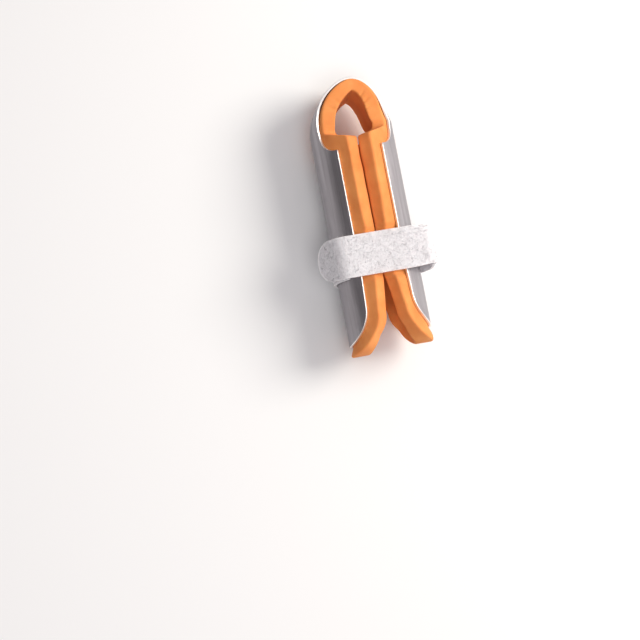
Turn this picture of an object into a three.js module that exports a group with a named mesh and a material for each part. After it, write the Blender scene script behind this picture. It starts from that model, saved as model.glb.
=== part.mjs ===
// A fold-over finger splint, lying on its back. One aluminium sheet with two round-ended lobes and
// a narrow neck is folded over the fingertip and rolled round the finger. A foam lining is glued
// inside it, and one hook-and-loop strap holds it closed.
// Millimetres, X across the finger, Y from the base of the finger to its tip, Z up.
import * as THREE from "three";

// The aluminium sheet
const splintLength = 85.8; // from the base end of the foam to the top of the fold
const splintWidth = 26; // over the outside of the two rolled lobes
const metalThickness = 0.9;
const lobeWidth = 26; // across one lobe, measured on its outer face along the curve
const neckWidth = 14; // across the strip that folds over the fingertip
const lobeEndRound = 10.5; // length of the rounded base end of a lobe
const lobeTaper = 0.5; // each edge draws back by this much towards the base end
const rightLobeLift = 2; // the right lobe ends this much higher than the left one
const shoulderDrop = 23; // from the top of the fold to the lobes' square shoulders
const shoulderFillet = 5.5; // height of the hollow curve between shoulder and neck

// The foam lining
const glueGap = 0.3; // glue line between metal and foam
const foamThickness = 4.8;
const foldFoamThickness = 3.5; // the foam is squeezed where it is folded
const foamPastNeck = 1.5; // foam showing past each edge of the neck
const foamPastLobeEnd = 3.3; // foam showing past the base end of the metal
const rightFoamLift = 0.8; // the foam of the right lobe ends this much higher
const foamEndRound = 11.3; // length of the rounded base end of the foam
const leftLipTaper = 1.1; // the left lips draw back by this much towards the base end
const rightLipTaper = 1.8;
const foamShoulderDrop = 18.7; // from the top of the fold to the tops of the foam lips
const foamShoulderFillet = 2.2;
const ridgeGap = 6.8; // between the outer edges of the two foam lips that meet
const slitGap = 0.4; // between the two lips where they are pressed together
const grooveDepth = 2.6; // of the groove that the two cut edges make
const pressedDepth = 1.4; // height over which the lips are pressed flat to each other

// The fold over the fingertip
const foldHeight = 15.5; // from the end of the straight sides to the top
const foldLean = 1.3; // the top of the fold sits this far to the right
const leftPinch = 0.7; // the left side of the fold draws in by this much as it rises
const rightPinch = 2.2;
const outerRise = 7.5; // how long the outer curve keeps going up
const outerSpread = 6; // half length of the outer curve's level top
const foamPinch = 0.8; // the foam thickens by this much at the sides of the fold
const innerRise = 5.5;
const innerSpread = 2.4;
const innerPeak = 0.9; // the hollow of the fold comes to a soft peak this high
const unrollLength = 15; // the rolled section opens flat over this length

// The strap
const strapWidth = 12.8;
const strapThickness = 1.2;
const strapHeight = 29.5; // from the base end of the foam to the middle of the strap
const strapGap = 0.3; // between the strap and what it lies on
const slackReach = 4.4; // the slack loop stands this far off the metal, to the strap's middle
const slackCorner = 3.2; // radius where the slack loop turns onto the front
const slackSide = 4; // the slack loop stands straight above this height
const innerEndAngle = THREE.MathUtils.degToRad(40); // where the strap starts, on the metal
const liftAngle = THREE.MathUtils.degToRad(34); // where the top layer lifts off the hook patch
const tabLength = 7.5; // of the free tab past that place
const tabRound = 6.4; // length of the tab's rounded end
const pinchClearance = 0.4; // between the strap's edges and the foam that bulges beside it
const pinchFade = 2; // length over which the squeezed lips rise again

// The hook patch that fastens the strap to itself
const patchThickness = 1.2;
const patchWidth = 10;
const patchTopAngle = THREE.MathUtils.degToRad(38);
const patchLowAngle = THREE.MathUtils.degToRad(20);

// Mesh density
const lobeColumns = 14;
const liningColumns = 18;
const tapeColumns = 6;
const endRows = 6;
const shoulderRows = 6;
const foldRows = 10;

// Sizes that follow from the ones above
const rollRadius = splintWidth / 2;
const lobeAngle = lobeWidth / 2 / rollRadius;
const foamDepth = metalThickness + glueGap;
const fullDepth = foamDepth + foamThickness;
const edgeX = rollRadius * Math.cos(lobeAngle);
const edgeZ = rollRadius * Math.sin(lobeAngle);
const turnRadius = strapGap + strapThickness / 2;
const strapLevel = edgeZ + turnRadius;
const restLevel = strapLevel + strapThickness / 2;
const springLine = splintLength - foldHeight;
const foamShoulder = splintLength - foamShoulderDrop;
const layerStep = strapThickness + strapGap;
const patchRadius = rollRadius + layerStep + strapGap + patchThickness / 2;
const tabRadius = patchRadius + patchThickness / 2 + strapGap + strapThickness / 2;

// Cut edge of a foam lip, from its outer ridge down to the hollow, in distances from the middle
const ridge = new THREE.Vector2(ridgeGap / 2, restLevel);
const slitTop = new THREE.Vector2(slitGap / 2, restLevel - grooveDepth);
const slitFoot = new THREE.Vector2(slitGap / 2, slitTop.y - pressedDepth);
const foamLayers = [0, 0.4, 0.8, 1];
const grooveShare = foamLayers[2];

// The lip runs straight from the end of the rolled metal to its ridge
const lipRoot = polar(rollRadius - foamDepth, lobeAngle);
const lipLength = lipRoot.distanceTo(ridge);
const lipHalf = lobeWidth / 2 + lipLength;

function polar(radius, angle) {
  return new THREE.Vector2(radius * Math.cos(angle), radius * Math.sin(angle));
}

function lerp(from, to, share) {
  return THREE.MathUtils.lerp(from, to, share);
}

// Bends a box of columns by rows by layers: place gives the point for across (-1 to 1), row and layer.
function bentBlank(columns, rows, layers, place) {
  const blank = new THREE.BoxGeometry(2, rows, layers, columns, rows, layers);
  const points = blank.attributes.position;
  for (let i = 0; i < points.count; i++) {
    const row = Math.round(points.getY(i) + rows / 2);
    const layer = Math.round(points.getZ(i) + layers / 2);
    const point = place(points.getX(i), row, layer);
    points.setXYZ(i, point.x, point.y, point.z);
  }
  blank.computeVertexNormals();
  return blank;
}

// Across runs round a quarter turn each way, so that the columns also suit the rounded ends.
function roundShare(across) {
  return Math.sin((across * Math.PI) / 2);
}

function endShare(across) {
  return 1 - Math.cos((across * Math.PI) / 2);
}

// The two edges of the folded sheet seen from the front: its outer face and the foam's inner face.
function foldCurve(side, start, rise, spread, top, peak) {
  return new THREE.CubicBezierCurve(
    new THREE.Vector2(side * start.x, springLine),
    new THREE.Vector2(side * (start.x - start.pinch), springLine + rise),
    new THREE.Vector2(foldLean + side * spread, top - peak),
    new THREE.Vector2(foldLean, top),
  );
}

function foldCurves(side, pinch) {
  const hollowTop = splintLength - foamDepth - foldFoamThickness;
  const metal = { x: rollRadius, pinch };
  const hollow = { x: rollRadius - fullDepth, pinch: pinch + foamPinch };
  return {
    outer: foldCurve(side, metal, outerRise, outerSpread, splintLength, 0),
    inner: foldCurve(side, hollow, innerRise, innerSpread, hollowTop, innerPeak),
  };
}

const folds = { left: foldCurves(-1, leftPinch), right: foldCurves(1, rightPinch) };

// How far the section is rolled: 1 on the lobes, 0 on the flat neck.
function rolled(height) {
  return 1 - THREE.MathUtils.smoothstep(height, foamShoulder, foamShoulder + unrollLength);
}

// How hard the strap squeezes the foam lips at a height.
function squeezed(height) {
  const reach = Math.abs(height - strapHeight) - strapWidth / 2 - pinchClearance;
  return 1 - THREE.MathUtils.smoothstep(reach, 0, pinchFade);
}

// Half of the sheet's width at a height: the neck, the hollow shoulder curve, the lobe, its taper.
function halfWidth(height, side, form) {
  const above = form.shoulder + form.fillet - height;
  if (above <= 0) return form.neckHalf;
  if (above < form.fillet) {
    const curve = 1 - Math.sqrt(1 - (above / form.fillet) ** 2);
    return lerp(form.neckHalf, form.lobeHalf, curve);
  }
  const taperStart = strapHeight - strapWidth / 2;
  const taperEnd = form.end[side] + form.endRound;
  const share = THREE.MathUtils.clamp((taperStart - height) / (taperStart - taperEnd), 0, 1);
  return form.lobeHalf - form.taper[side] * share;
}

const metalForm = {
  end: { left: foamPastLobeEnd, right: foamPastLobeEnd + rightLobeLift },
  endRound: lobeEndRound,
  taper: { left: lobeTaper, right: lobeTaper },
  shoulder: splintLength - shoulderDrop,
  fillet: shoulderFillet,
  neckHalf: neckWidth / 2,
  lobeHalf: lobeWidth / 2,
};

const foamForm = {
  end: { left: 0, right: rightFoamLift },
  endRound: foamEndRound,
  taper: { left: leftLipTaper, right: rightLipTaper },
  shoulder: foamShoulder,
  fillet: foamShoulderFillet,
  neckHalf: neckWidth / 2 + foamPastNeck,
  lobeHalf: lipHalf,
};

// Rows of one half of the strip, from the base end to the top of the fold. A row has a height, and
// near the base end also a bow, which is how much of the rounded end it follows.
function halfRows(side, form, sideHeights) {
  const straight = strapHeight - strapWidth / 2 - pinchClearance - pinchFade;
  const rows = [];
  for (let i = 0; i <= endRows; i++) {
    const height = lerp(form.end[side], straight, i / endRows);
    rows.push({ side, height, bow: 1 - i / endRows });
  }
  for (const height of sideHeights) rows.push({ side, height, bow: 0 });
  for (let i = 0; i <= shoulderRows; i++) {
    const up = 1 - Math.cos((i / shoulderRows) * (Math.PI / 2));
    rows.push({ side, height: form.shoulder + form.fillet * up, bow: 0 });
  }
  rows.push({ side, height: springLine, bow: 0 });
  for (let i = 1; i <= foldRows; i++) rows.push({ side, fold: i / foldRows, bow: 0 });
  return rows;
}

function stripRows(form, sideHeights) {
  const left = halfRows("left", form, sideHeights);
  const right = halfRows("right", form, sideHeights).slice(0, -1);
  return [...left, ...right.reverse()];
}

// A point of the strip: inward is the distance from the outer face, z the height in the section.
function stripPoint(row, height, inward, z) {
  const curves = folds[row.side];
  const share = inward / fullDepth;
  const fold = row.fold ?? 0;
  const outer = curves.outer.getPoint(fold);
  const inner = curves.inner.getPoint(fold);
  const point = outer.lerp(inner, share);
  const y = row.fold === undefined ? height : point.y;
  return new THREE.Vector3(point.x, y, z);
}

// Where a blank's point lies on the developed sheet.
function sheetPlace(row, across, form) {
  const bowed = form.endRound * endShare(across) * row.bow;
  const height = row.fold === undefined ? row.height + bowed : foldTop(row);
  return { height, t: -halfWidth(height, row.side, form) * roundShare(across) };
}

function foldTop(row) {
  return folds[row.side].outer.getPoint(row.fold).y;
}

function metalPoint(row, across, layer) {
  const { height, t } = sheetPlace(row, across, metalForm);
  const depth = layer * metalThickness;
  const section = polar(rollRadius - depth, t / rollRadius);
  const roll = rolled(height);
  const inward = lerp(depth, rollRadius - section.x, roll);
  return stripPoint(row, height, inward, lerp(t, section.y, roll));
}

// A point of the rolled foam section: arcs under the metal, then the straight lip to its cut edge.
function foamSection(t, share) {
  const angle = Math.min(Math.abs(t) / rollRadius, lobeAngle);
  const point = polar(rollRadius - foamDepth - foamThickness * share, angle);
  const past = (Math.abs(t) - lobeWidth / 2) / lipLength;
  if (past > 0) point.lerp(cutEdge(share), past);
  if (t < 0) point.y = -point.y;
  return point;
}

function cutEdge(share) {
  if (share <= grooveShare) return ridge.clone().lerp(slitTop, share / grooveShare);
  return slitTop.clone().lerp(slitFoot, (share - grooveShare) / (1 - grooveShare));
}

// Under the strap the lips are pressed down to the strap's inner face.
function pressed(z, height) {
  const free = slitFoot.y;
  const over = Math.abs(z) - free;
  if (over <= 0) return z;
  const room = restLevel - strapThickness - strapGap - free;
  const scale = lerp(1, room / (restLevel - free), squeezed(height));
  return Math.sign(z) * (free + over * scale);
}

function foamPoint(row, across, layer) {
  const { height, t } = sheetPlace(row, across, foamForm);
  const share = foamLayers[layer];
  const depth = foamDepth + foamThickness * share;
  const section = foamSection(t, share);
  const roll = rolled(height);
  const inward = lerp(depth, rollRadius - section.x, roll);
  return stripPoint(row, height, inward, pressed(lerp(t, section.y, roll), height));
}

function shellGeometry() {
  const rows = stripRows(metalForm, [lerp(strapHeight, metalForm.shoulder, 1 / 2)]);
  return bentBlank(lobeColumns, rows.length - 1, 1, (across, row, layer) =>
    metalPoint(rows[row], across, layer),
  );
}

function liningGeometry() {
  const reach = strapWidth / 2 + pinchClearance;
  const edges = [-reach - pinchFade / 2, -reach, reach, reach + pinchFade / 2, reach + pinchFade];
  const heights = edges.map((edge) => strapHeight + edge);
  const rows = stripRows(foamForm, heights);
  const layers = foamLayers.length - 1;
  return bentBlank(liningColumns, rows.length - 1, layers, (across, row, layer) =>
    foamPoint(rows[row], across, layer),
  );
}

// The strap's middle line in the XZ plane, each stretch with its number of rows.
function strapStretches() {
  const slackX = rollRadius + slackReach;
  const left = Math.PI;
  const hugRadius = rollRadius + turnRadius;
  const lift = polar(tabRadius, left - liftAngle);
  const tabWay = new THREE.Vector2(-Math.sin(liftAngle), -Math.cos(liftAngle));
  const tabEnd = lift.clone().addScaledVector(tabWay, tabLength);
  const backToFlat = (strapLevel - lift.y) / Math.cos(liftAngle);
  const corner = lift.clone().addScaledVector(tabWay, -backToFlat);
  const flatEnd = new THREE.Vector2(corner.x + backToFlat, strapLevel);
  const slackStart = new THREE.Vector2(edgeX, -strapLevel);
  const slackEnd = new THREE.Vector2(slackX, slackSide);
  const cornerStart = new THREE.Vector2(slackX, strapLevel - slackCorner);
  const cornerEnd = new THREE.Vector2(slackX - slackCorner, strapLevel);
  return [
    { curve: arc(0, 0, hugRadius, left - innerEndAngle, left + lobeAngle), rows: 10 },
    { curve: arc(-edgeX, -edgeZ, turnRadius, left + lobeAngle, left * 1.5), rows: 3 },
    { curve: new THREE.LineCurve(new THREE.Vector2(-edgeX, -strapLevel), slackStart), rows: 1 },
    {
      curve: new THREE.CubicBezierCurve(
        slackStart,
        new THREE.Vector2(lerp(edgeX, slackX, 1 / 2), -strapLevel),
        new THREE.Vector2(slackX, lerp(-strapLevel, slackSide, 1 / 2)),
        slackEnd,
      ),
      rows: 10,
    },
    { curve: new THREE.LineCurve(slackEnd, cornerStart), rows: 1 },
    { curve: arc(cornerEnd.x, cornerStart.y, slackCorner, 0, left / 2), rows: 5 },
    { curve: new THREE.LineCurve(cornerEnd, flatEnd), rows: 2 },
    { curve: new THREE.QuadraticBezierCurve(flatEnd, corner, lift), rows: 4 },
    { curve: new THREE.LineCurve(lift, tabEnd), rows: 6, bow: 5 },
  ];
}

function arc(x, z, radius, from, to) {
  return new THREE.EllipseCurve(x, z, radius, radius, from, to, false, 0);
}

function strapRowList() {
  const stretches = strapStretches();
  const rows = [{ curve: stretches[0].curve, share: 0, bow: 0 }];
  for (const stretch of stretches) {
    const bowStart = stretch.rows - (stretch.bow ?? 0);
    for (let i = 1; i <= stretch.rows; i++) {
      const bow = stretch.bow ? Math.max(0, i - bowStart) / stretch.bow : 0;
      rows.push({ curve: stretch.curve, share: i / stretch.rows, bow });
    }
  }
  return rows;
}

function strapGeometry() {
  const rows = strapRowList();
  return bentBlank(tapeColumns, rows.length - 1, 1, (across, index, layer) => {
    const row = rows[index];
    const back = (row.bow * tabRound * endShare(across)) / row.curve.getLength();
    const middle = row.curve.getPointAt(row.share - back);
    const along = row.curve.getTangentAt(row.share - back);
    const out = (layer - 1 / 2) * strapThickness;
    const y = strapHeight + (strapWidth / 2) * roundShare(across);
    return new THREE.Vector3(middle.x + out * along.y, y, middle.y - out * along.x);
  });
}

function patchGeometry() {
  const rows = 5;
  return bentBlank(1, rows, 1, (across, row, layer) => {
    const angle = Math.PI - lerp(patchTopAngle, patchLowAngle, row / rows);
    const point = polar(patchRadius + (layer - 1 / 2) * patchThickness, angle);
    return new THREE.Vector3(point.x, strapHeight + (patchWidth / 2) * across, point.y);
  });
}

function piece(name, geometry, color, roughness, metalness) {
  const material = new THREE.MeshStandardMaterial({ color, roughness, metalness });
  const mesh = new THREE.Mesh(geometry, material);
  mesh.name = name;
  return mesh;
}

// The splint stands on z = 0, with the middle of its box over the origin.
function assemble() {
  const splint = new THREE.Group();
  splint.add(
    piece("aluminium_shell", shellGeometry(), 0xbfc0ca, 0.35, 1),
    piece("foam_lining", liningGeometry(), 0xee9a45, 0.9, 0),
    piece("strap", strapGeometry(), 0xe9eaee, 0.95, 0),
    piece("hook_patch", patchGeometry(), 0xdcdde2, 0.7, 0),
  );
  const box = new THREE.Box3().setFromObject(splint);
  const middle = box.getCenter(new THREE.Vector3());
  splint.position.set(-middle.x, -middle.y, -box.min.z);
  return splint;
}

const group = assemble();

export default group;
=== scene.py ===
# %% [markdown]
# A fold-over finger splint: a bent sheet of aluminium with a foam pad glued inside it, folded over
# the fingertip and closed by a hook-and-loop strap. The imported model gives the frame, which says where
# each piece is. Everything that shows is modelled again here, finer, in the same place and size.

# %% Load the frame
import math
import random

import bmesh
import bpy
from mathutils import Matrix, Vector, noise


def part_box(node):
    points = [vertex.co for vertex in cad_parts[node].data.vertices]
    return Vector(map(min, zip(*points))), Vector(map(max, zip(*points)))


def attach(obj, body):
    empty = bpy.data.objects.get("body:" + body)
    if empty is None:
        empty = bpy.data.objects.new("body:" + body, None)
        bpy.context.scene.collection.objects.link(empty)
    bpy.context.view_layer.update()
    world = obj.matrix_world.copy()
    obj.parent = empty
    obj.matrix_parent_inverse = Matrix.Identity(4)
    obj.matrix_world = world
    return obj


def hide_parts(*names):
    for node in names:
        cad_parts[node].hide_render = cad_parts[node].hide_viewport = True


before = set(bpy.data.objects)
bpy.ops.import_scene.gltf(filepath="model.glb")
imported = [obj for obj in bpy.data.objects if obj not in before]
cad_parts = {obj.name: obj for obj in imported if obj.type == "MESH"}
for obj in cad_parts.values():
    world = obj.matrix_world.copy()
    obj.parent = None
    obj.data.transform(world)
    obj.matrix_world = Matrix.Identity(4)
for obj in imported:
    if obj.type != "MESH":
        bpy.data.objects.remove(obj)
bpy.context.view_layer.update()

MM = 0.001
print("nodes", sorted(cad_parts))

# %% [markdown]
# The camera comes first, because it decides what has to look right. The photo looks at the slit side
# from a little to the left and from a little towards the base end, with the splint leaning to the
# left in the picture. A long lens keeps the sides nearly parallel. The camera first looks straight at
# the splint, and is then turned in place until the splint sits above and right of the middle.

# %% Sizes that the frame gives
shell_low, shell_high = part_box("aluminium_shell")
AXIS_X = (shell_low[0] + shell_high[0]) / 2
AXIS_Z = (shell_low[2] + shell_high[2]) / 2
SPLINT_LENGTH = 85.8 * MM
BASE_Y = shell_high[1] - SPLINT_LENGTH
print("axis of the hollow", round(AXIS_X, 5), round(AXIS_Z, 5))

# %% The camera
IMAGE_SIDE = 640
PHOTO_X, PHOTO_Y = 367, 216
CAMERA_DISTANCE = 480 * MM
LENS, SENSOR = 86.4, 36.0
YAW, PITCH, LEAN = (math.radians(angle) for angle in (9.7, 9.3, -11.1))


def aimed_camera():
    back = Vector((-math.sin(YAW) * math.cos(PITCH), -math.sin(PITCH), math.cos(YAW) * math.cos(PITCH)))
    right = Vector((0, 1, 0)).cross(back).normalized()
    up = back.cross(right)
    tilted_right = right * math.cos(LEAN) + up * math.sin(LEAN)
    tilted_up = up * math.cos(LEAN) - right * math.sin(LEAN)
    turn = Matrix((tilted_right, tilted_up, back)).transposed()
    focal_pixels = LENS / SENSOR * IMAGE_SIDE
    off_right = math.atan((PHOTO_X - IMAGE_SIDE / 2) / focal_pixels)
    off_up = math.atan((IMAGE_SIDE / 2 - PHOTO_Y) / focal_pixels)
    turn = turn @ Matrix.Rotation(off_right, 3, "Y") @ Matrix.Rotation(-off_up, 3, "X")
    middle = Vector((AXIS_X, BASE_Y + SPLINT_LENGTH / 2, AXIS_Z))
    data = bpy.data.cameras.new("camera")
    data.lens = LENS
    data.sensor_width = SENSOR
    data.clip_start = 10 * MM
    camera = bpy.data.objects.new("camera", data)
    camera.matrix_world = Matrix.Translation(middle + back * CAMERA_DISTANCE) @ turn.to_4x4()
    bpy.context.collection.objects.link(camera)
    return camera


bpy.context.scene.camera = aimed_camera()
print("camera", [round(value, 3) for value in bpy.context.scene.camera.location])

# %% [markdown]
# All three sheets of the splint, which are metal, foam and strap, are made the same way: a flat grid is
# extruded into a closed slab, as if cut from stock, and its points are then moved to their bent place.
# One helper cuts the blank, and a place function for each sheet says where a point of it goes. Each
# point keeps its place on the flat sheet as an attribute, so a material can follow the bent surface.


# %% Shared helpers for curves
def lerp(start, end, share):
    return start + (end - start) * share


def smoothstep(value, low, high):
    share = min(max((value - low) / (high - low), 0.0), 1.0)
    return share * share * (3 - 2 * share)


def polar(radius, angle):
    return Vector((radius * math.cos(angle), radius * math.sin(angle)))


def cubic(points, share):
    rest = 1 - share
    weights = (rest**3, 3 * rest * rest * share, 3 * rest * share * share, share**3)
    return sum((point * weight for point, weight in zip(points, weights)), Vector((0, 0)))


def round_share(across):
    return math.sin(across * math.pi / 2)


def end_share(across):
    return 1 - math.cos(across * math.pi / 2)


# %% Shared helpers for sheets
ROUND_STEPS = 4
SHARP_ANGLE = math.radians(60)
SOFT_SEGMENTS = 2


def grow(shape, cap, is_first):
    """Extrudes a cap and gives its new points and faces. Only the first cap stays, as a wall."""
    grown = bmesh.ops.extrude_face_region(shape, geom=cap, use_keep_orig=True)["geom"]
    if not is_first:
        bmesh.ops.delete(shape, geom=cap, context="FACES")
    points = [item for item in grown if isinstance(item, bmesh.types.BMVert)]
    return points, [item for item in grown if isinstance(item, bmesh.types.BMFace)]


def face_outward(shape):
    """Turns every face of a closed shape outward."""
    bmesh.ops.recalc_face_normals(shape, faces=shape.faces)
    if shape.calc_volume(signed=True) < 0:
        bmesh.ops.reverse_faces(shape, faces=shape.faces)


def cut_blank(columns, rows, layers):
    """A closed slab whose points hold across (-1 to 1), row number and layer number."""
    blank = bmesh.new()
    bmesh.ops.create_grid(blank, x_segments=columns, y_segments=rows, size=1)
    for point in blank.verts:
        point.co.y = round((point.co.y + 1) / 2 * rows)
    top = list(blank.faces)
    for layer in range(layers):
        lifted, top = grow(blank, top, layer == 0)
        bmesh.ops.translate(blank, verts=lifted, vec=(0, 0, 1))
    return blank


def bend_blank(blank, rows, place):
    """Moves each point to its place, which is given as (point, place on the flat sheet)."""
    flat = blank.verts.layers.float_vector.new("sheet")
    rim = blank.verts.layers.float.new("rim")
    for point in blank.verts:
        across, row, layer = point.co.x, round(point.co.y), round(point.co.z)
        at_rim = abs(across) > 0.9999 or row in (0, rows)
        point[rim] = 1.0 if at_rim else 0.0
        point.co, point[flat] = place(across, row, layer)
    face_outward(blank)


def rim_inset(depth, thickness, radius):
    """How far a rounded cut edge draws back at a depth in the sheet."""
    from_face = min(depth, thickness - depth)
    if from_face >= radius:
        return 0.0
    return radius * (1 - math.sqrt(max(0.0, 1 - (1 - from_face / radius) ** 2)))


def rim_layers(thickness, radius, middle):
    """Depths of the layers of a sheet, close together where its edges are rounded."""
    angles = [i / ROUND_STEPS * math.pi / 2 for i in range(ROUND_STEPS + 1)]
    rounding = [radius * (1 - math.cos(angle)) for angle in angles]
    inner = [lerp(radius, thickness - radius, i / middle) for i in range(1, middle)]
    return rounding + inner + [thickness - depth for depth in reversed(rounding)]


def soften_edges(shape, width):
    sharp = [edge for edge in shape.edges if edge.calc_face_angle(0) > SHARP_ANGLE]
    bmesh.ops.bevel(
        shape,
        geom=sharp,
        affect="EDGES",
        offset=width,
        segments=SOFT_SEGMENTS,
        profile=0.5,
        material=-1,
        clamp_overlap=True,
    )


def to_piece(shape, name):
    mesh = bpy.data.meshes.new(name)
    shape.to_mesh(mesh)
    shape.free()
    mesh.polygons.foreach_set("use_smooth", [True] * len(mesh.polygons))
    piece = bpy.data.objects.new(name, mesh)
    bpy.context.collection.objects.link(piece)
    print(name, len(mesh.polygons), "faces")
    return piece


# %% [markdown]
# The strip is a long sheet that is bent over the fingertip. Seen from the slit side it is an arch. On
# its two legs it is also rolled into a half tube each, so that the legs close round the finger. The
# rows of the strip run up the left leg, over the fold and down the right leg. These driving sizes are
# the ones that the solids of the frame were made with, and the place functions repeat their rules.

# %% Driving sizes of the strip
ROLL_RADIUS = 13 * MM
METAL_THICKNESS = 0.9 * MM
LOBE_HALF = 13 * MM
LOBE_ANGLE = LOBE_HALF / ROLL_RADIUS
FOAM_DEPTH = 1.2 * MM
FOAM_THICKNESS = 4.8 * MM
FULL_DEPTH = FOAM_DEPTH + FOAM_THICKNESS
FOLD_FOAM_THICKNESS = 3.5 * MM
SPRING_LINE = SPLINT_LENGTH - 15.5 * MM
FOLD_LEAN = 1.3 * MM
FOLD_PINCH = {"left": 0.7 * MM, "right": 2.2 * MM}
FOAM_SHOULDER = SPLINT_LENGTH - 18.7 * MM
UNROLL_LENGTH = 15 * MM
STRAP_WIDTH = 12.8 * MM
STRAP_THICKNESS = 1.2 * MM
STRAP_HEIGHT = 29.5 * MM
STRAP_GAP = 0.3 * MM
PINCH_CLEARANCE = 0.4 * MM
PINCH_FADE = 2 * MM
EDGE = polar(ROLL_RADIUS, LOBE_ANGLE)
TURN_RADIUS = STRAP_GAP + STRAP_THICKNESS / 2
STRAP_LEVEL = EDGE.y + TURN_RADIUS
REST_LEVEL = STRAP_LEVEL + STRAP_THICKNESS / 2
STRAIGHT = STRAP_HEIGHT - STRAP_WIDTH / 2 - PINCH_CLEARANCE - PINCH_FADE


# %% The fold seen from the slit side
METAL_FOLD = {"rise": 7.5 * MM, "spread": 6 * MM, "peak": 0}
HOLLOW_FOLD = {"rise": 5.5 * MM, "spread": 2.4 * MM, "peak": 0.9 * MM}
HOLLOW_PINCH = 0.8 * MM


def fold_curve(side, start, pinch, top, form):
    sign = -1 if side == "left" else 1
    return [
        Vector((sign * start, SPRING_LINE)),
        Vector((sign * (start - pinch), SPRING_LINE + form["rise"])),
        Vector((FOLD_LEAN + sign * form["spread"], top - form["peak"])),
        Vector((FOLD_LEAN, top)),
    ]


def fold_curves(side):
    """The outer and the inner curve of one half of the fold."""
    pinch = FOLD_PINCH[side]
    hollow_top = SPLINT_LENGTH - FOAM_DEPTH - FOLD_FOAM_THICKNESS
    hollow_start = ROLL_RADIUS - FULL_DEPTH
    outer = fold_curve(side, ROLL_RADIUS, pinch, SPLINT_LENGTH, METAL_FOLD)
    inner = fold_curve(side, hollow_start, pinch + HOLLOW_PINCH, hollow_top, HOLLOW_FOLD)
    return outer, inner


FOLDS = {side: fold_curves(side) for side in ("left", "right")}


# %% Rules of the rolled legs
def rolled(height):
    return 1 - smoothstep(height, FOAM_SHOULDER, FOAM_SHOULDER + UNROLL_LENGTH)


def squeezed(height):
    reach = abs(height - STRAP_HEIGHT) - STRAP_WIDTH / 2 - PINCH_CLEARANCE
    return 1 - smoothstep(reach, 0, PINCH_FADE)


def half_width(height, side, form):
    above = form["shoulder"] + form["fillet"] - height
    if above <= 0:
        return form["neck_half"]
    if "soft_corner" in form and above < form["soft_corner"]:
        return lerp(form["neck_half"], form["lobe_half"], smoothstep(above, 0, form["soft_corner"]))
    if above < form["fillet"]:
        curve = 1 - math.sqrt(1 - (above / form["fillet"]) ** 2)
        return lerp(form["neck_half"], form["lobe_half"], curve)
    taper_start = STRAP_HEIGHT - STRAP_WIDTH / 2
    taper_end = form["end"][side] + form["end_round"]
    share = min(max((taper_start - height) / (taper_start - taper_end), 0), 1)
    return form["lobe_half"] - form["taper"][side] * share


def strip_point(row, height, inward, z):
    outer, inner = FOLDS[row["side"]]
    fold = row.get("fold", 0)
    point = cubic(outer, fold).lerp(cubic(inner, fold), inward / FULL_DEPTH)
    y = point.y if "fold" in row else height
    return Vector((AXIS_X + point.x, BASE_Y + y, AXIS_Z + z))


# %% Rows of the strip
def spread_rows(low, high, step):
    count = max(1, round((high - low) / step))
    return [lerp(low, high, i / count) for i in range(1, count + 1)]


def leg_rows(side, form, step, fold_rows):
    """Rows of one leg, from its base end to the top of the fold."""
    end = form["end"][side]
    end_rows = round((STRAIGHT - end) / step)
    rows = [{"height": lerp(end, STRAIGHT, i / end_rows), "bow": 1 - i / end_rows}
            for i in range(end_rows + 1)]
    rows += [{"height": height} for height in spread_rows(STRAIGHT, form["shoulder"], step)]
    turn_rows = max(6, round(form["fillet"] / step * 1.5))
    for i in range(1, turn_rows + 1):
        up = 1 - math.cos(i / turn_rows * math.pi / 2)
        rows.append({"height": form["shoulder"] + form["fillet"] * up})
    rows += [{"height": h} for h in spread_rows(form["shoulder"] + form["fillet"], SPRING_LINE, step)]
    rows += [{"height": SPRING_LINE, "fold": i / fold_rows} for i in range(1, fold_rows + 1)]
    return [dict(row, side=side) for row in rows]


def strip_rows(form, step, fold_rows):
    """Rows from one base end to the other, each with its distance along the sheet."""
    rows = leg_rows("left", form, step, fold_rows)
    rows += reversed(leg_rows("right", form, step, fold_rows)[:-1])
    travelled = 0
    previous = None
    for row in rows:
        outer = FOLDS[row["side"]][0]
        spot = cubic(outer, row["fold"]) if "fold" in row else Vector((outer[0].x, row["height"]))
        travelled += (spot - previous).length if previous else 0
        row["along"] = travelled
        previous = spot
    return rows


def sheet_place(row, across, form, inset):
    """Height and distance from the middle line; inset draws the outline back all round."""
    if "fold" in row:
        height = cubic(FOLDS[row["side"]][0], row["fold"]).y
    else:
        bow = row.get("bow", 0)
        drawn_back = form["end_round"] * end_share(across) + inset * math.cos(across * math.pi / 2)
        height = row["height"] + drawn_back * bow
    return height, -(half_width(height, row["side"], form) - inset) * round_share(across)


# %% [markdown]
# The metal sheet is 0.9 mm of soft aluminium, stamped out with two round-ended lobes and a narrow neck.
# It could be a Solidify on a surface, but extruding the flat blank first gives the wall and its cut
# edge at once, and the same rule bends both. The layers next to each face draw back a little, which
# rounds the cut edge, so it catches the light as the sheared edge does on the real one.

# %% The metal sheet
METAL_FORM = {
    "end": {"left": 3.3 * MM, "right": 5.3 * MM},
    "end_round": 10.5 * MM,
    "taper": {"left": 0.5 * MM, "right": 0.5 * MM},
    "shoulder": SPLINT_LENGTH - 23 * MM,
    "fillet": 5.5 * MM,
    "neck_half": 7 * MM,
    "lobe_half": LOBE_HALF,
}
METAL_ROUND = 0.2 * MM
METAL_ROW_STEP = 0.7 * MM
METAL_FOLD_ROWS = 30
METAL_COLUMNS = 40
METAL_LAYERS = 3


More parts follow.
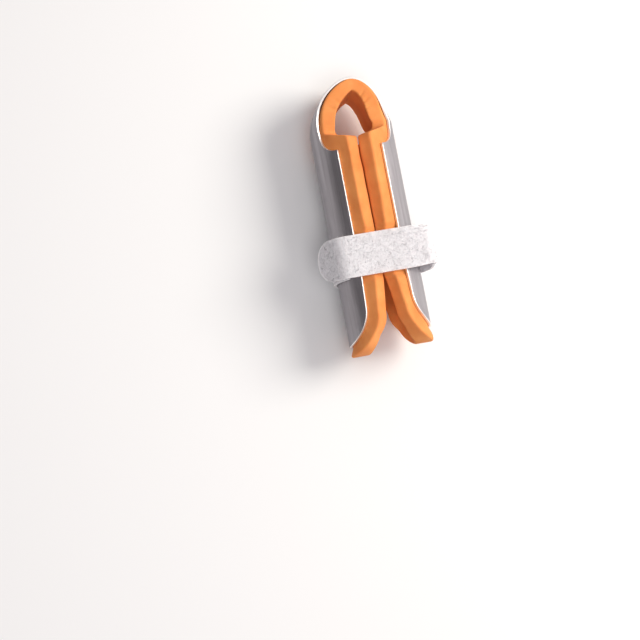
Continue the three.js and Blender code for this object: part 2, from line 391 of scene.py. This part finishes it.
def make_metal():
    rows = strip_rows(METAL_FORM, METAL_ROW_STEP, METAL_FOLD_ROWS)
    last = len(rows) - 1
    depths = rim_layers(METAL_THICKNESS, METAL_ROUND, METAL_LAYERS)

    def place(across, index, layer):
        row = rows[index]
        depth = depths[layer]
        inset = rim_inset(depth, METAL_THICKNESS, METAL_ROUND)
        height, t = sheet_place(row, across, METAL_FORM, inset)
        section = polar(ROLL_RADIUS - depth, t / ROLL_RADIUS)
        roll = rolled(height)
        inward = lerp(depth, ROLL_RADIUS - section.x, roll)
        point = strip_point(row, height, inward, lerp(t, section.y, roll))
        return point, Vector((t, row["along"], depth))

    blank = cut_blank(METAL_COLUMNS, last, len(depths) - 1)
    bend_blank(blank, last, place)
    return to_piece(blank, "metal_sheet")


metal = make_metal()

# %% [markdown]
# The foam pad is one sheet of closed-cell foam, cut a little larger than the metal. On the legs its
# edges run on past the metal as straight lips that meet in the slit, and its thick cut edge shows as
# the sloping faces of the groove. Under the strap the lips are squeezed. It is modelled as a slab with
# several layers, so that the cut edge has points of its own to bend, squeeze and crease.

# %% The foam pad
GLUE_LINE = 0.05 * MM
RIDGE = Vector((3.4 * MM, REST_LEVEL))
SLIT_TOP = Vector((0.2 * MM, REST_LEVEL - 2.6 * MM))
SLIT_FOOT = Vector((0.2 * MM, SLIT_TOP.y - 1.4 * MM))
GROOVE_SHARE = 0.8
FOAM_ROUND = 0.6 * MM
LIP_LENGTH = (polar(ROLL_RADIUS - FOAM_DEPTH, LOBE_ANGLE) - RIDGE).length
FOAM_FORM = {
    "end": {"left": 0, "right": 0.8 * MM},
    "end_round": 11.3 * MM,
    "taper": {"left": 1.1 * MM, "right": 1.8 * MM},
    "shoulder": FOAM_SHOULDER,
    "fillet": 2.2 * MM,
    "soft_corner": 3.2 * MM,
    "neck_half": 8.5 * MM,
    "lobe_half": LOBE_HALF + LIP_LENGTH,
}


def cut_edge(share):
    if share <= GROOVE_SHARE:
        return RIDGE.lerp(SLIT_TOP, share / GROOVE_SHARE)
    return SLIT_TOP.lerp(SLIT_FOOT, (share - GROOVE_SHARE) / (1 - GROOVE_SHARE))


def foam_section(t, share):
    angle = min(abs(t) / ROLL_RADIUS, LOBE_ANGLE)
    point = polar(ROLL_RADIUS - FOAM_DEPTH - FOAM_THICKNESS * share, angle)
    past = (abs(t) - LOBE_HALF) / LIP_LENGTH
    if past > 0:
        point = point.lerp(cut_edge(share), past)
    if t < 0:
        point.y = -point.y
    return point


def pressed(z, height):
    over = abs(z) - SLIT_FOOT.y
    if over <= 0:
        return z
    room = REST_LEVEL - STRAP_THICKNESS - STRAP_GAP - SLIT_FOOT.y
    scale = lerp(1, room / (REST_LEVEL - SLIT_FOOT.y), squeezed(height))
    return math.copysign(SLIT_FOOT.y + over * scale, z)


# %% [markdown]
# Soft foam doesn't keep the exact lines of its cut. Past the round ends of the metal nothing holds it,
# so it spreads a little. The ridges of its groove are drawn together on the way down to the strap, and
# its inner side folds into shallow furrows where it bends over the fingertip. Its free faces wander by
# a noise that has a seed, because without one its pattern would change with every run.

# %% How the foam gives
FOAM_FLARE = 1.0 * MM
FLARE_HALF = 11 * MM
FLARE_REACH = 3 * MM
FLAT_CUT_START = FOAM_SHOULDER - 1.5 * MM
FLAT_CUT_LENGTH = 6.5 * MM
GROOVE_NARROWING = 0.4 * MM
GROOVE_REACH = 22 * MM
WAVE_LENGTH = 5 * MM
WAVE_HEIGHT = 0.16 * MM
WAVE_SEED = 5
CREASES = {
    "left": [{"fold": 0.36, "depth": 0.3 * MM}, {"fold": 0.52, "depth": 0.2 * MM}],
    "right": [
        {"fold": 0.3, "depth": 0.35 * MM},
        {"fold": 0.45, "depth": 0.3 * MM},
        {"fold": 0.62, "depth": 0.2 * MM},
    ],
}
CREASE_WIDTH = 0.035
CREASE_FOCUS = 6


def past_metal(height, t, side):
    """How far a point of the foam lies past the rounded base end of the metal."""
    share = min(abs(t) / LOBE_HALF, 1.0)
    metal_end = METAL_FORM["end"][side] + METAL_FORM["end_round"] * (1 - math.sqrt(1 - share * share))
    return metal_end - height


def groove_pull(height, t, share):
    """How far the ridges of the groove come together on the way down to the strap."""
    past = smoothstep(abs(t), LOBE_HALF, LOBE_HALF + LIP_LENGTH)
    near_strap = 1 - smoothstep(height, STRAP_HEIGHT, STRAP_HEIGHT + GROOVE_REACH)
    return GROOVE_NARROWING * past * near_strap * (1 - share)


def crease(row, share):
    """Depth of the soft furrows where the foam is bent over the fingertip."""
    fold = row.get("fold", 0)
    depth = 0
    for furrow in CREASES[row["side"]]:
        depth += furrow["depth"] * math.exp(-(((fold - furrow["fold"]) / CREASE_WIDTH) ** 2))
    return depth * smoothstep(share, 0.1, 0.9)


def waved(point, share, t):
    """Lets the free faces of the foam wander a little, as soft foam does."""
    swing = noise.noise_vector(point / WAVE_LENGTH) * WAVE_HEIGHT
    free = max(share, smoothstep(abs(t), LOBE_HALF, LOBE_HALF + LIP_LENGTH))
    sunk = abs(swing.z) * (point.z - AXIS_Z) / REST_LEVEL
    return point + Vector((swing.x, 0, -sunk)) * free


# %% Make the foam pad
FOAM_ROW_STEP = 0.6 * MM
FOAM_FOLD_ROWS = 60
FOAM_COLUMNS = 56
FOAM_LAYERS = 8
FOAM_SKIN = FOAM_DEPTH - METAL_THICKNESS - GLUE_LINE


def make_foam():
    noise.seed_set(WAVE_SEED)
    rows = strip_rows(FOAM_FORM, FOAM_ROW_STEP, FOAM_FOLD_ROWS)
    last = len(rows) - 1
    depths = rim_layers(FOAM_THICKNESS, FOAM_ROUND, FOAM_LAYERS)

    def place(across, index, layer):
        row = rows[index]
        inset = rim_inset(depths[layer], FOAM_THICKNESS, FOAM_ROUND)
        share = depths[layer] / FOAM_THICKNESS
        height, t = sheet_place(row, across, FOAM_FORM, inset)
        depth = FOAM_DEPTH + FOAM_THICKNESS * share
        section = foam_section(t, share)
        section *= 1 + FOAM_SKIN * (1 - share) / ROLL_RADIUS
        free = smoothstep(past_metal(height, t, row["side"]), 0, FLARE_REACH)
        section.x += FOAM_FLARE * free * (1 - share) * (1 - smoothstep(abs(t), 0, FLARE_HALF))
        section.x -= groove_pull(height, t, share)
        flat_cut = smoothstep(height, FLAT_CUT_START, FLAT_CUT_START + FLAT_CUT_LENGTH)
        section.y = lerp(section.y, foam_section(t, 0).y, flat_cut)
        roll = rolled(height)
        inward = lerp(depth, ROLL_RADIUS - section.x, roll)
        z = pressed(lerp(t, section.y, roll), height)
        z -= math.copysign(crease(row, share) * abs(round_share(across)) ** CREASE_FOCUS, z)
        point = waved(strip_point(row, height, inward, z), share, t)
        return point, Vector((t, row["along"], depth))

    blank = cut_blank(FOAM_COLUMNS, last, len(depths) - 1)
    bend_blank(blank, last, place)
    return to_piece(blank, "foam_pad")


foam = make_foam()

# %% [markdown]
# The strap is a tape with a loop pile on its outer face. It starts on the left side of the splint,
# runs round the back, stands off in a slack loop on the right, crosses the slit and ends in a round
# tab that sticks down over its own start. Its middle line is a row of arcs and short curves, walked at
# an even pace, so the tape keeps its real length and its pile can be sown by distance. Round the
# slack corner the edges of the tape curl in.

# %% Middle line of the strap
SLACK_X = ROLL_RADIUS + 4.4 * MM
SLACK_CORNER = 3.2 * MM
SLACK_SIDE = 4 * MM
INNER_END_ANGLE = math.radians(40)
LIFT_ANGLE = math.radians(34)
TAB_LENGTH = 7.5 * MM
TAB_ROUND = 6.4 * MM
PATCH_THICKNESS = 1.2 * MM
PATCH_RADIUS = ROLL_RADIUS + STRAP_THICKNESS + 2 * STRAP_GAP + PATCH_THICKNESS / 2
TAB_RADIUS = PATCH_RADIUS + PATCH_THICKNESS / 2 + STRAP_GAP + STRAP_THICKNESS / 2


def arc(center, radius, start, end):
    return lambda share: Vector(center) + polar(radius, lerp(start, end, share))


def line(start, end):
    return lambda share: start.lerp(end, share)


def strap_stretches():
    half_turn = math.pi
    lift = polar(TAB_RADIUS, half_turn - LIFT_ANGLE)
    tab_way = Vector((-math.sin(LIFT_ANGLE), -math.cos(LIFT_ANGLE)))
    back_to_flat = (STRAP_LEVEL - lift.y) / math.cos(LIFT_ANGLE)
    corner = lift - tab_way * back_to_flat
    flat_end = Vector((corner.x + back_to_flat, STRAP_LEVEL))
    slack_start = Vector((EDGE.x, -STRAP_LEVEL))
    slack_end = Vector((SLACK_X, SLACK_SIDE))
    corner_start = Vector((SLACK_X, STRAP_LEVEL - SLACK_CORNER))
    corner_end = Vector((SLACK_X - SLACK_CORNER, STRAP_LEVEL))
    slack = [
        slack_start,
        Vector((lerp(EDGE.x, SLACK_X, 0.5), -STRAP_LEVEL)),
        Vector((SLACK_X, lerp(-STRAP_LEVEL, SLACK_SIDE, 0.5))),
        slack_end,
    ]
    lifting = [flat_end, flat_end.lerp(corner, 2 / 3), lift.lerp(corner, 2 / 3), lift]
    back_left = Vector((-EDGE.x, -STRAP_LEVEL))
    hug_radius = ROLL_RADIUS + TURN_RADIUS
    lobe_edge = half_turn + LOBE_ANGLE
    return [
        arc((0, 0), hug_radius, half_turn - INNER_END_ANGLE, lobe_edge),
        arc((-EDGE.x, -EDGE.y), TURN_RADIUS, lobe_edge, half_turn * 1.5),
        line(back_left, slack_start),
        lambda share: cubic(slack, share),
        line(slack_end, corner_start),
        arc((corner_end.x, corner_start.y), SLACK_CORNER, 0, half_turn / 2),
        line(corner_end, flat_end),
        lambda share: cubic(lifting, share),
        line(lift, lift + tab_way * TAB_LENGTH),
    ]


# %% Walking along the strap
STRETCH_SAMPLES = 60


def strap_line():
    points = []
    for stretch in strap_stretches():
        first = 1 if points else 0
        points += [stretch(i / STRETCH_SAMPLES) for i in range(first, STRETCH_SAMPLES + 1)]
    marks = [0.0]
    for before, after in zip(points, points[1:]):
        marks.append(marks[-1] + (after - before).length)
    return points, marks


LINE_POINTS, LINE_MARKS = strap_line()
STRAP_LENGTH = LINE_MARKS[-1]
CORNER_STRETCH = 5
CURL_MIDDLE = LINE_MARKS[CORNER_STRETCH * STRETCH_SAMPLES]
CURL_HOLD = 2 * MM
CURL_REACH = 10 * MM
CURL_DEPTH = 0.7 * MM
CURL_DRAW = 0.07
PACE_STEP = 0.3 * MM
print("strap length in mm", round(STRAP_LENGTH / MM, 1))


def line_point(distance):
    distance = min(max(distance, 0.0), STRAP_LENGTH)
    low, high = 0, len(LINE_MARKS) - 1
    while high - low > 1:
        half = (low + high) // 2
        if LINE_MARKS[half] <= distance:
            low = half
        else:
            high = half
    share = (distance - LINE_MARKS[low]) / max(LINE_MARKS[high] - LINE_MARKS[low], 1e-9)
    return LINE_POINTS[low].lerp(LINE_POINTS[high], share)


def strap_place(distance, across, out):
    """The point of the strap at a distance along it, across it (-1 to 1) and out from its middle."""
    curl = 1 - smoothstep(abs(distance - CURL_MIDDLE), CURL_HOLD, CURL_REACH)
    out -= CURL_DEPTH * curl * across**4
    middle = line_point(distance)
    along = (line_point(distance + PACE_STEP) - line_point(distance - PACE_STEP)).normalized()
    y = BASE_Y + STRAP_HEIGHT + STRAP_WIDTH / 2 * across * (1 - CURL_DRAW * curl)
    return Vector((AXIS_X + middle.x + out * along.y, y, AXIS_Z + middle.y - out * along.x))


# %% The strap's ground tape
PILE_HEIGHT = 0.3 * MM
GROUND_THICKNESS = STRAP_THICKNESS - PILE_HEIGHT
GROUND_OUT = GROUND_THICKNESS - STRAP_THICKNESS / 2
TAB_BOW = TAB_LENGTH * 5 / 6
SELVEDGE_ROUND = 0.12 * MM


def tab_back(distance, across):
    """How far the round end of the tab draws a point back."""
    bow = min(max((distance - STRAP_LENGTH + TAB_BOW) / TAB_BOW, 0), 1)
    return bow * TAB_ROUND * end_share(across)


def make_tape():
    columns, rows, layers = 26, 300, 2

    def place(across, row, layer):
        distance = STRAP_LENGTH * row / rows
        distance -= tab_back(distance, across)
        out = GROUND_THICKNESS * layer / layers - STRAP_THICKNESS / 2
        share = round_share(across)
        return strap_place(distance, share, out), Vector((STRAP_WIDTH / 2 * share, distance, out))

    blank = cut_blank(columns, rows, layers)
    bend_blank(blank, rows, place)
    soften_edges(blank, SELVEDGE_ROUND)
    return to_piece(blank, "strap_tape")


tape = make_tape()

# %% [markdown]
# The loop pile is what makes the strap look soft: thousands of small fibre loops that lean every way.
# Hair particles would not survive an export, so one small loop of thread is modelled as a thin closed
# tube and repeated as real mesh. Each copy gets its own turn, lean, span and height from a seeded
# random generator, so every run gives the same strap.


# %% One loop of thread
def thread_loop(segments, radius):
    """A closed thread that rises and comes down again, over one unit of span and height."""
    shape = bmesh.new()
    bmesh.ops.create_circle(shape, segments=3, radius=radius, cap_ends=True)
    ring = list(shape.verts)
    cap = list(shape.faces)
    bmesh.ops.rotate(shape, verts=ring, cent=(0, 0, 0), matrix=Matrix.Rotation(math.pi / 2, 3, "Y"))
    angles = [math.pi * i / segments for i in range(segments + 1)]
    middles = [Vector((-math.cos(angle) / 2, 0, math.sin(angle))) for angle in angles]
    bmesh.ops.translate(shape, verts=ring, vec=middles[0])
    for before, after in zip(middles, middles[1:]):
        ring, cap = grow(shape, cap, before is middles[0])
        bmesh.ops.translate(shape, verts=ring, vec=after - before)
    face_outward(shape)
    shape.verts.ensure_lookup_table()
    points = [point.co.copy() for point in shape.verts]
    faces = [[point.index for point in face.verts] for face in shape.faces]
    shape.free()
    return points, faces


# %% Sowing the pile
def sown_mesh(name, template, matrices):
    """Joins a copy of the template for each matrix into one mesh."""
    points, faces = template
    all_points, all_faces = [], []
    for matrix in matrices:
        start = len(all_points)
        all_points += [matrix @ point for point in points]
        all_faces += [[start + index for index in face] for face in faces]
    mesh = bpy.data.meshes.new(name)
    mesh.from_pydata(all_points, [], all_faces)
    mesh.polygons.foreach_set("use_smooth", [True] * len(mesh.polygons))
    piece = bpy.data.objects.new(name, mesh)
    bpy.context.collection.objects.link(piece)
    print(name, len(matrices), "copies,", len(all_faces), "faces")
    return piece


def surface_frame(distance, across, out):
    """The turn that stands something upright on the strap, and the spot where it stands."""
    spot = strap_place(distance, across, out)
    step = 0.2 * MM
    ahead = strap_place(distance + step, across, out) - strap_place(distance - step, across, out)
    side = Vector((0, 1, 0))
    up = side.cross(ahead.normalized()).normalized()
    if up.dot(strap_place(distance, across, out + 0.1 * MM) - spot) < 0:
        up = -up
    return Matrix((side.cross(up), side, up)).transposed().to_4x4(), spot


# %% [markdown]
# Most loops lie close on the tape. A few stray ones stand off its edges, where a worn strap frays.

# %% The pile
PILE_SEED = 11
PILE_LOOPS = 9600
PILE_ROOT = 0.06 * MM
STRAY_LOOPS = 20
STRAY_ROOT = 0.1 * MM
STRAY_ACROSS = (0.97, 0.97, -0.97)


def pile_loop(rng):
    across = rng.uniform(-0.96, 0.96)
    distance = rng.uniform(0.4 * MM, STRAP_LENGTH - 0.5 * MM)
    distance -= tab_back(distance, math.asin(across) * 2 / math.pi)
    turn, spot = surface_frame(distance, across, GROUND_OUT - PILE_ROOT)
    lean = Matrix.Rotation(rng.uniform(-0.9, 0.9), 4, "X")
    spin = Matrix.Rotation(rng.uniform(0, math.tau), 4, "Z")
    span = rng.uniform(0.3, 0.65) * MM
    rise = rng.uniform(0.35, 0.7) * PILE_HEIGHT
    size = Matrix.Diagonal((span, span, rise, 1))
    return Matrix.Translation(spot) @ turn @ spin @ lean @ size


def stray_loop(rng):
    distance = STRAP_LENGTH - rng.uniform(5, 26) * MM
    turn, spot = surface_frame(distance, rng.choice(STRAY_ACROSS), GROUND_OUT - STRAY_ROOT)
    outward = math.copysign(rng.uniform(0.7, 1.5), BASE_Y + STRAP_HEIGHT - spot.y)
    lean = Matrix.Rotation(outward, 4, "X")
    spin = Matrix.Rotation(rng.uniform(-0.7, 0.7), 4, "Z")
    span = rng.uniform(0.3, 0.9) * MM
    rise = rng.uniform(0.3, 0.75) * MM
    size = Matrix.Diagonal((span, 0.4 * MM, rise, 1))
    return Matrix.Translation(spot) @ turn @ spin @ lean @ size


def make_pile():
    rng = random.Random(PILE_SEED)
    matrices = [pile_loop(rng) for loop in range(PILE_LOOPS)]
    matrices += [stray_loop(rng) for loop in range(STRAY_LOOPS)]
    return sown_mesh("strap_pile", thread_loop(segments=3, radius=0.07), matrices)


pile = make_pile()

# %% [markdown]
# The hook patch is sewn under the tab and grips the pile. Only its edge shows, on the left side. It is
# a thin plastic backing with rows of small canes, so it gets a bevelled slab and a field of hooks.


# %% The hook patch
PATCH_WIDTH = 10 * MM
PATCH_ANGLES = (math.radians(20), math.radians(38))
PATCH_CELLS = 12
PATCH_OUTER = PATCH_RADIUS + PATCH_THICKNESS / 2
PATCH_ROUND = 0.15 * MM
BACKING_THICKNESS = 0.7 * MM


def make_patch():
    def place(across, row, layer):
        angle = math.pi - lerp(PATCH_ANGLES[1], PATCH_ANGLES[0], row / PATCH_CELLS)
        spot = polar(PATCH_OUTER - BACKING_THICKNESS * (1 - layer), angle)
        y = BASE_Y + STRAP_HEIGHT + PATCH_WIDTH / 2 * across
        return Vector((AXIS_X + spot.x, y, AXIS_Z + spot.y)), Vector((across, row, layer))

    blank = cut_blank(PATCH_CELLS, PATCH_CELLS, 1)
    bend_blank(blank, PATCH_CELLS, place)
    soften_edges(blank, PATCH_ROUND)
    return to_piece(blank, "hook_backing")


patch = make_patch()

# %% The field of hooks
HOOK_ROWS = 7
HOOK_COLUMNS = 14
HOOK_ANGLES = (21.5, 36.5)
HOOK_REACH = 4.6 * MM
HOOK_FOOT = PATCH_OUTER - BACKING_THICKNESS + 0.02 * MM
HOOK_SPAN = 0.45 * MM
HOOK_RISE = 0.5 * MM


def make_hooks():
    matrices = []
    size = Matrix.Diagonal((HOOK_SPAN, HOOK_SPAN, HOOK_RISE, 1))
    for row in range(HOOK_ROWS):
        angle = math.pi - math.radians(lerp(*HOOK_ANGLES, row / (HOOK_ROWS - 1)))
        inward = Matrix.Rotation(math.pi / 2 - angle, 4, "Y") @ Matrix.Rotation(math.pi, 4, "X")
        spot = polar(HOOK_FOOT, angle)
        for column in range(HOOK_COLUMNS):
            y = BASE_Y + STRAP_HEIGHT + lerp(-HOOK_REACH, HOOK_REACH, column / (HOOK_COLUMNS - 1))
            place = Matrix.Translation((AXIS_X + spot.x, y, AXIS_Z + spot.y))
            matrices.append(place @ inward @ size)
    return sown_mesh("hook_field", thread_loop(segments=6, radius=0.16), matrices)


hooks = make_hooks()

# %% [markdown]
# Materials come from nodes alone. A short helper adds a node and fills its inputs, either with a plain
# value or with a link, so each finish below reads as a recipe.


# %% Node helpers
def add(tree, kind, inputs=None, **settings):
    made = tree.nodes.new(kind)
    for name, value in settings.items():
        setattr(made, name, value)
    for key, value in (inputs or {}).items():
        if isinstance(value, bpy.types.NodeSocket):
            tree.links.new(value, made.inputs[key])
        else:
            made.inputs[key].default_value = value
    return made


def new_material(name):
    material = bpy.data.materials.new(name)
    material.use_nodes = True
    tree = material.node_tree
    shader = tree.nodes["Principled BSDF"]
    return material, tree, shader


def new_group(name, inputs, outputs):
    tree = bpy.data.node_groups.new(name, "ShaderNodeTree")
    for label, kind in inputs:
        tree.interface.new_socket(label, in_out="INPUT", socket_type=kind)
    for label, kind in outputs:
        tree.interface.new_socket(label, in_out="OUTPUT", socket_type=kind)
    return tree, tree.nodes.new("NodeGroupInput").outputs, tree.nodes.new("NodeGroupOutput").inputs


def place_group(tree, group, inputs):
    made = tree.nodes.new("ShaderNodeGroup")
    made.node_tree = group
    for key, value in inputs.items():
        if isinstance(value, bpy.types.NodeSocket):
            tree.links.new(value, made.inputs[key])
        else:
            made.inputs[key].default_value = value
    return made


def blend(tree, factor, first, second):
    """Mixes two colours and gives the mixed one."""
    made = add(tree, "ShaderNodeMix", {"Factor": factor, "A": first, "B": second}, data_type="RGBA")
    return made.outputs["Result"]


def remap(tree, value, given, wanted=(0, 1)):
    """Stretches a value from one range to another."""
    ranges = {"From Min": given[0], "From Max": given[1], "To Min": wanted[0], "To Max": wanted[1]}
    return add(tree, "ShaderNodeMapRange", {"Value": value, **ranges}).outputs["Result"]


# %% [markdown]
# Every finish needs a slow change of tone over the surface, and most need a fine grain that tilts the
# normal. Both are groups, so the metal, foam and cloth share one recipe with their own numbers.


# %% Shared effects
def mottle_group():
    sockets = [("Vector", "NodeSocketVector"), ("Scale", "NodeSocketFloat")]
    sockets += [("Low", "NodeSocketFloat"), ("High", "NodeSocketFloat")]
    tree, given, result = new_group("mottle", sockets, [("Value", "NodeSocketFloat")])
    cloud = add(tree, "ShaderNodeTexNoise", {
        "Vector": given["Vector"],
        "Scale": given["Scale"],
        "Detail": 4,
    })
    spread = remap(tree, cloud.outputs["Fac"], (0.3, 0.7), (given["Low"], given["High"]))
    tree.links.new(spread, result["Value"])
    return tree


def grain_group():
    sockets = [("Vector", "NodeSocketVector"), ("Scale", "NodeSocketFloat")]
    sockets += [("Strength", "NodeSocketFloat"), ("Depth", "NodeSocketFloat")]
    tree, given, result = new_group("grain", sockets, [("Normal", "NodeSocketVector")])
    cloud = add(tree, "ShaderNodeTexNoise", {
        "Vector": given["Vector"],
        "Scale": given["Scale"],
        "Detail": 3,
        "Roughness": 0.6,
    })
    bump = add(tree, "ShaderNodeBump", {
        "Strength": given["Strength"],
        "Distance": given["Depth"],
        "Height": cloud.outputs["Fac"],
    })
    tree.links.new(bump.outputs["Normal"], result["Normal"])
    return tree


mottle = mottle_group()
grain = grain_group()


# %% [markdown]
# The aluminium has fine streaks along the sheet and wide soft bands of tone across it. Both follow the
# flat sheet, so they bend with it. Its cut edge is near-white, partly the bare metal of the cut and
# partly a painted highlight, and the rim attribute says where that is.


# %% Satin aluminium
STREAK_SCALE = (4000, 60, 400)
BAND_SCALE = (450, 25, 100)
DARK_METAL = (0.30, 0.28, 0.295, 1)
LIGHT_METAL = (0.45, 0.43, 0.455, 1)
# Near-white for the cut edge: partly the bare metal of the cut, partly a painted highlight.
BARE_CUT_AND_HIGHLIGHT = (0.95, 0.94, 0.93, 1)


def satin_aluminium():
    material, tree, shader = new_material("satin_aluminium")
    sheet = add(tree, "ShaderNodeAttribute", attribute_name="sheet").outputs["Vector"]
    rim = add(tree, "ShaderNodeAttribute", attribute_name="rim").outputs["Fac"]
    drawn = add(tree, "ShaderNodeMapping", {"Vector": sheet, "Scale": STREAK_SCALE}).outputs["Vector"]
    bands = add(tree, "ShaderNodeMapping", {"Vector": sheet, "Scale": BAND_SCALE}).outputs["Vector"]
    streaks = place_group(tree, mottle, {"Vector": drawn, "Scale": 1, "Low": 0, "High": 1}).outputs[0]
    wide = place_group(tree, mottle, {"Vector": bands, "Scale": 1, "Low": 0, "High": 1}).outputs[0]
    both = add(tree, "ShaderNodeMath", {0: streaks, 1: wide}, operation="ADD").outputs[0]
    face = blend(tree, remap(tree, both, (0.3, 1.7)), DARK_METAL, LIGHT_METAL)
    # Painted highlight: where the rim attribute is set, the cut edge is mixed towards near-white, which
    # is partly also the bare metal of the cut.
    colour = blend(tree, remap(tree, rim, (0.8, 0.95)), face, BARE_CUT_AND_HIGHLIGHT)
    rough = remap(tree, streaks, (0, 1), (0.4, 0.54))
    tilt = add(tree, "ShaderNodeBump", {"Strength": 0.25, "Distance": 0.04 * MM, "Height": streaks})
    tree.links.new(colour, shader.inputs["Base Color"])
    tree.links.new(rough, shader.inputs["Roughness"])
    tree.links.new(tilt.outputs["Normal"], shader.inputs["Normal"])
    shader.inputs["Metallic"].default_value = 1.0
    return material


# %% [markdown]
# The foam is matte. Its tone wanders between two oranges, fine cells roughen it, and a little light
# sinks in and comes back redder.


# %% Orange foam
DARK_FOAM = (0.75, 0.245, 0.07, 1)
LIGHT_FOAM = (0.84, 0.325, 0.1, 1)


def orange_foam():
    material, tree, shader = new_material("orange_foam")
    spot = add(tree, "ShaderNodeTexCoord").outputs["Object"]
    clouds = place_group(tree, mottle, {"Vector": spot, "Scale": 160, "Low": 0, "High": 1})
    colour = blend(tree, clouds.outputs[0], DARK_FOAM, LIGHT_FOAM)
    cells = place_group(tree, grain, {
        "Vector": spot,
        "Scale": 2600,
        "Strength": 0.4,
        "Depth": 0.06 * MM,
    })
    tree.links.new(colour, shader.inputs["Base Color"])
    tree.links.new(cells.outputs["Normal"], shader.inputs["Normal"])
    shader.inputs["Roughness"].default_value = 0.75
    shader.inputs["Specular IOR Level"].default_value = 0.15
    shader.inputs["Sheen Weight"].default_value = 0.06
    shader.inputs["Sheen Tint"].default_value = (1.0, 0.7, 0.45, 1)
    shader.inputs["Subsurface Weight"].default_value = 0.12
    shader.inputs["Subsurface Radius"].default_value = (1.0, 0.3, 0.1)
    shader.inputs["Subsurface Scale"].default_value = 1.5 * MM
    return material


# %% [markdown]
# Light goes into the fibres of the strap and comes out again near by, so it has no hard shadows and
# looks soft. The ground tape, the threads and the hooks share one recipe and differ in their tint. The
# ground is tinted lighter than the threads, which is painted light in the shaded gaps between the loops.


# %% White strap
def white_strap(name, tint, strength):
    material, tree, shader = new_material(name)
    spot = add(tree, "ShaderNodeTexCoord").outputs["Object"]
    clouds = place_group(tree, mottle, {"Vector": spot, "Scale": 500, "Low": 0, "High": 1})
    dull = tuple(value * 0.9 for value in tint) + (1,)
    colour = blend(tree, clouds.outputs[0], dull, tint + (1,))
    fuzz = place_group(tree, grain, {
        "Vector": spot,
        "Scale": 3000,
        "Strength": strength,
        "Depth": 0.05 * MM,
    })
    tree.links.new(colour, shader.inputs["Base Color"])
    tree.links.new(fuzz.outputs["Normal"], shader.inputs["Normal"])
    shader.inputs["Roughness"].default_value = 0.9
    shader.inputs["Specular IOR Level"].default_value = 0.2
    shader.inputs["Sheen Weight"].default_value = 0.3
    shader.inputs["Subsurface Weight"].default_value = 0.9
    shader.inputs["Subsurface Radius"].default_value = (1.0, 0.95, 0.95)
    shader.inputs["Subsurface Scale"].default_value = 1.2 * MM
    return material


# %% Dress the pieces
def dress(piece, material, slot, *nodes):
    piece.data.materials.append(material)
    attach(piece, "root")
    if nodes:
        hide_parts(*nodes)


dress(metal, satin_aluminium(), "satin_aluminium", "aluminium_shell")
dress(foam, orange_foam(), "orange_foam", "foam_lining")
# The ground's tint, lighter than the threads', is painted light for the shaded gaps between the loops.
dress(tape, white_strap("strap_ground", (0.82, 0.81, 0.84), 0.2), "white_strap", "strap")
dress(pile, white_strap("strap_thread", (0.74, 0.735, 0.765), 0.1), "white_strap")
plastic = white_strap("hook_plastic", (0.75, 0.75, 0.78), 0.1)
dress(patch, plastic, "hook_plastic", "hook_patch")
dress(hooks, plastic, "hook_plastic")

# %% [markdown]
# The studio is plain: a pale floor, one soft light high on the right, a weaker one in front and a dim
# sky that darkens to the left. So the left side of the metal is dark and the right side is bright, as
# in the photo.


# %% Floor and light
def make_floor():
    shape = bmesh.new()
    bmesh.ops.create_grid(shape, x_segments=1, y_segments=1, size=1.5)
    floor = to_piece(shape, "floor")
    material, tree, shader = new_material("pale_floor")
    shader.inputs["Base Color"].default_value = (0.86, 0.87, 0.88, 1)
    shader.inputs["Roughness"].default_value = 0.8
    floor.data.materials.append(material)
    return floor


make_floor()


def soft_light(name, way, distance, side, watts, colour):
    data = bpy.data.lights.new(name, "AREA")
    data.shape = "DISK"
    data.size = side
    data.energy = watts
    data.color = colour
    light = bpy.data.objects.new(name, data)
    light.location = Vector(way).normalized() * distance
    light.rotation_euler = Vector(way).to_track_quat("Z", "Y").to_euler()
    bpy.context.collection.objects.link(light)
    return light


soft_light(
    "key_light",
    way=(0.72, 0.1, 0.66),
    distance=0.6,
    side=0.34,
    watts=3.2,
    colour=(1.0, 0.96, 0.88),
)
soft_light(
    "front_light",
    way=(-0.1, -0.25, 0.95),
    distance=0.8,
    side=0.5,
    watts=2.0,
    colour=(1.0, 0.98, 0.97),
)

# %% The sky
world = bpy.data.worlds.new("studio")
world.use_nodes = True
sky_tree = world.node_tree
sky = sky_tree.nodes["Background"]
sky.inputs["Color"].default_value = (1.0, 0.93, 0.95, 1)
direction = add(sky_tree, "ShaderNodeTexCoord").outputs["Generated"]
to_right = add(sky_tree, "ShaderNodeSeparateXYZ", {"Vector": direction}).outputs["X"]
glow = remap(sky_tree, to_right, (-0.9, 0.3), (0.1, 0.56))
sky_tree.links.new(glow, sky.inputs["Strength"])
bpy.context.scene.world = world
bpy.context.scene.view_settings.view_transform = "Standard"
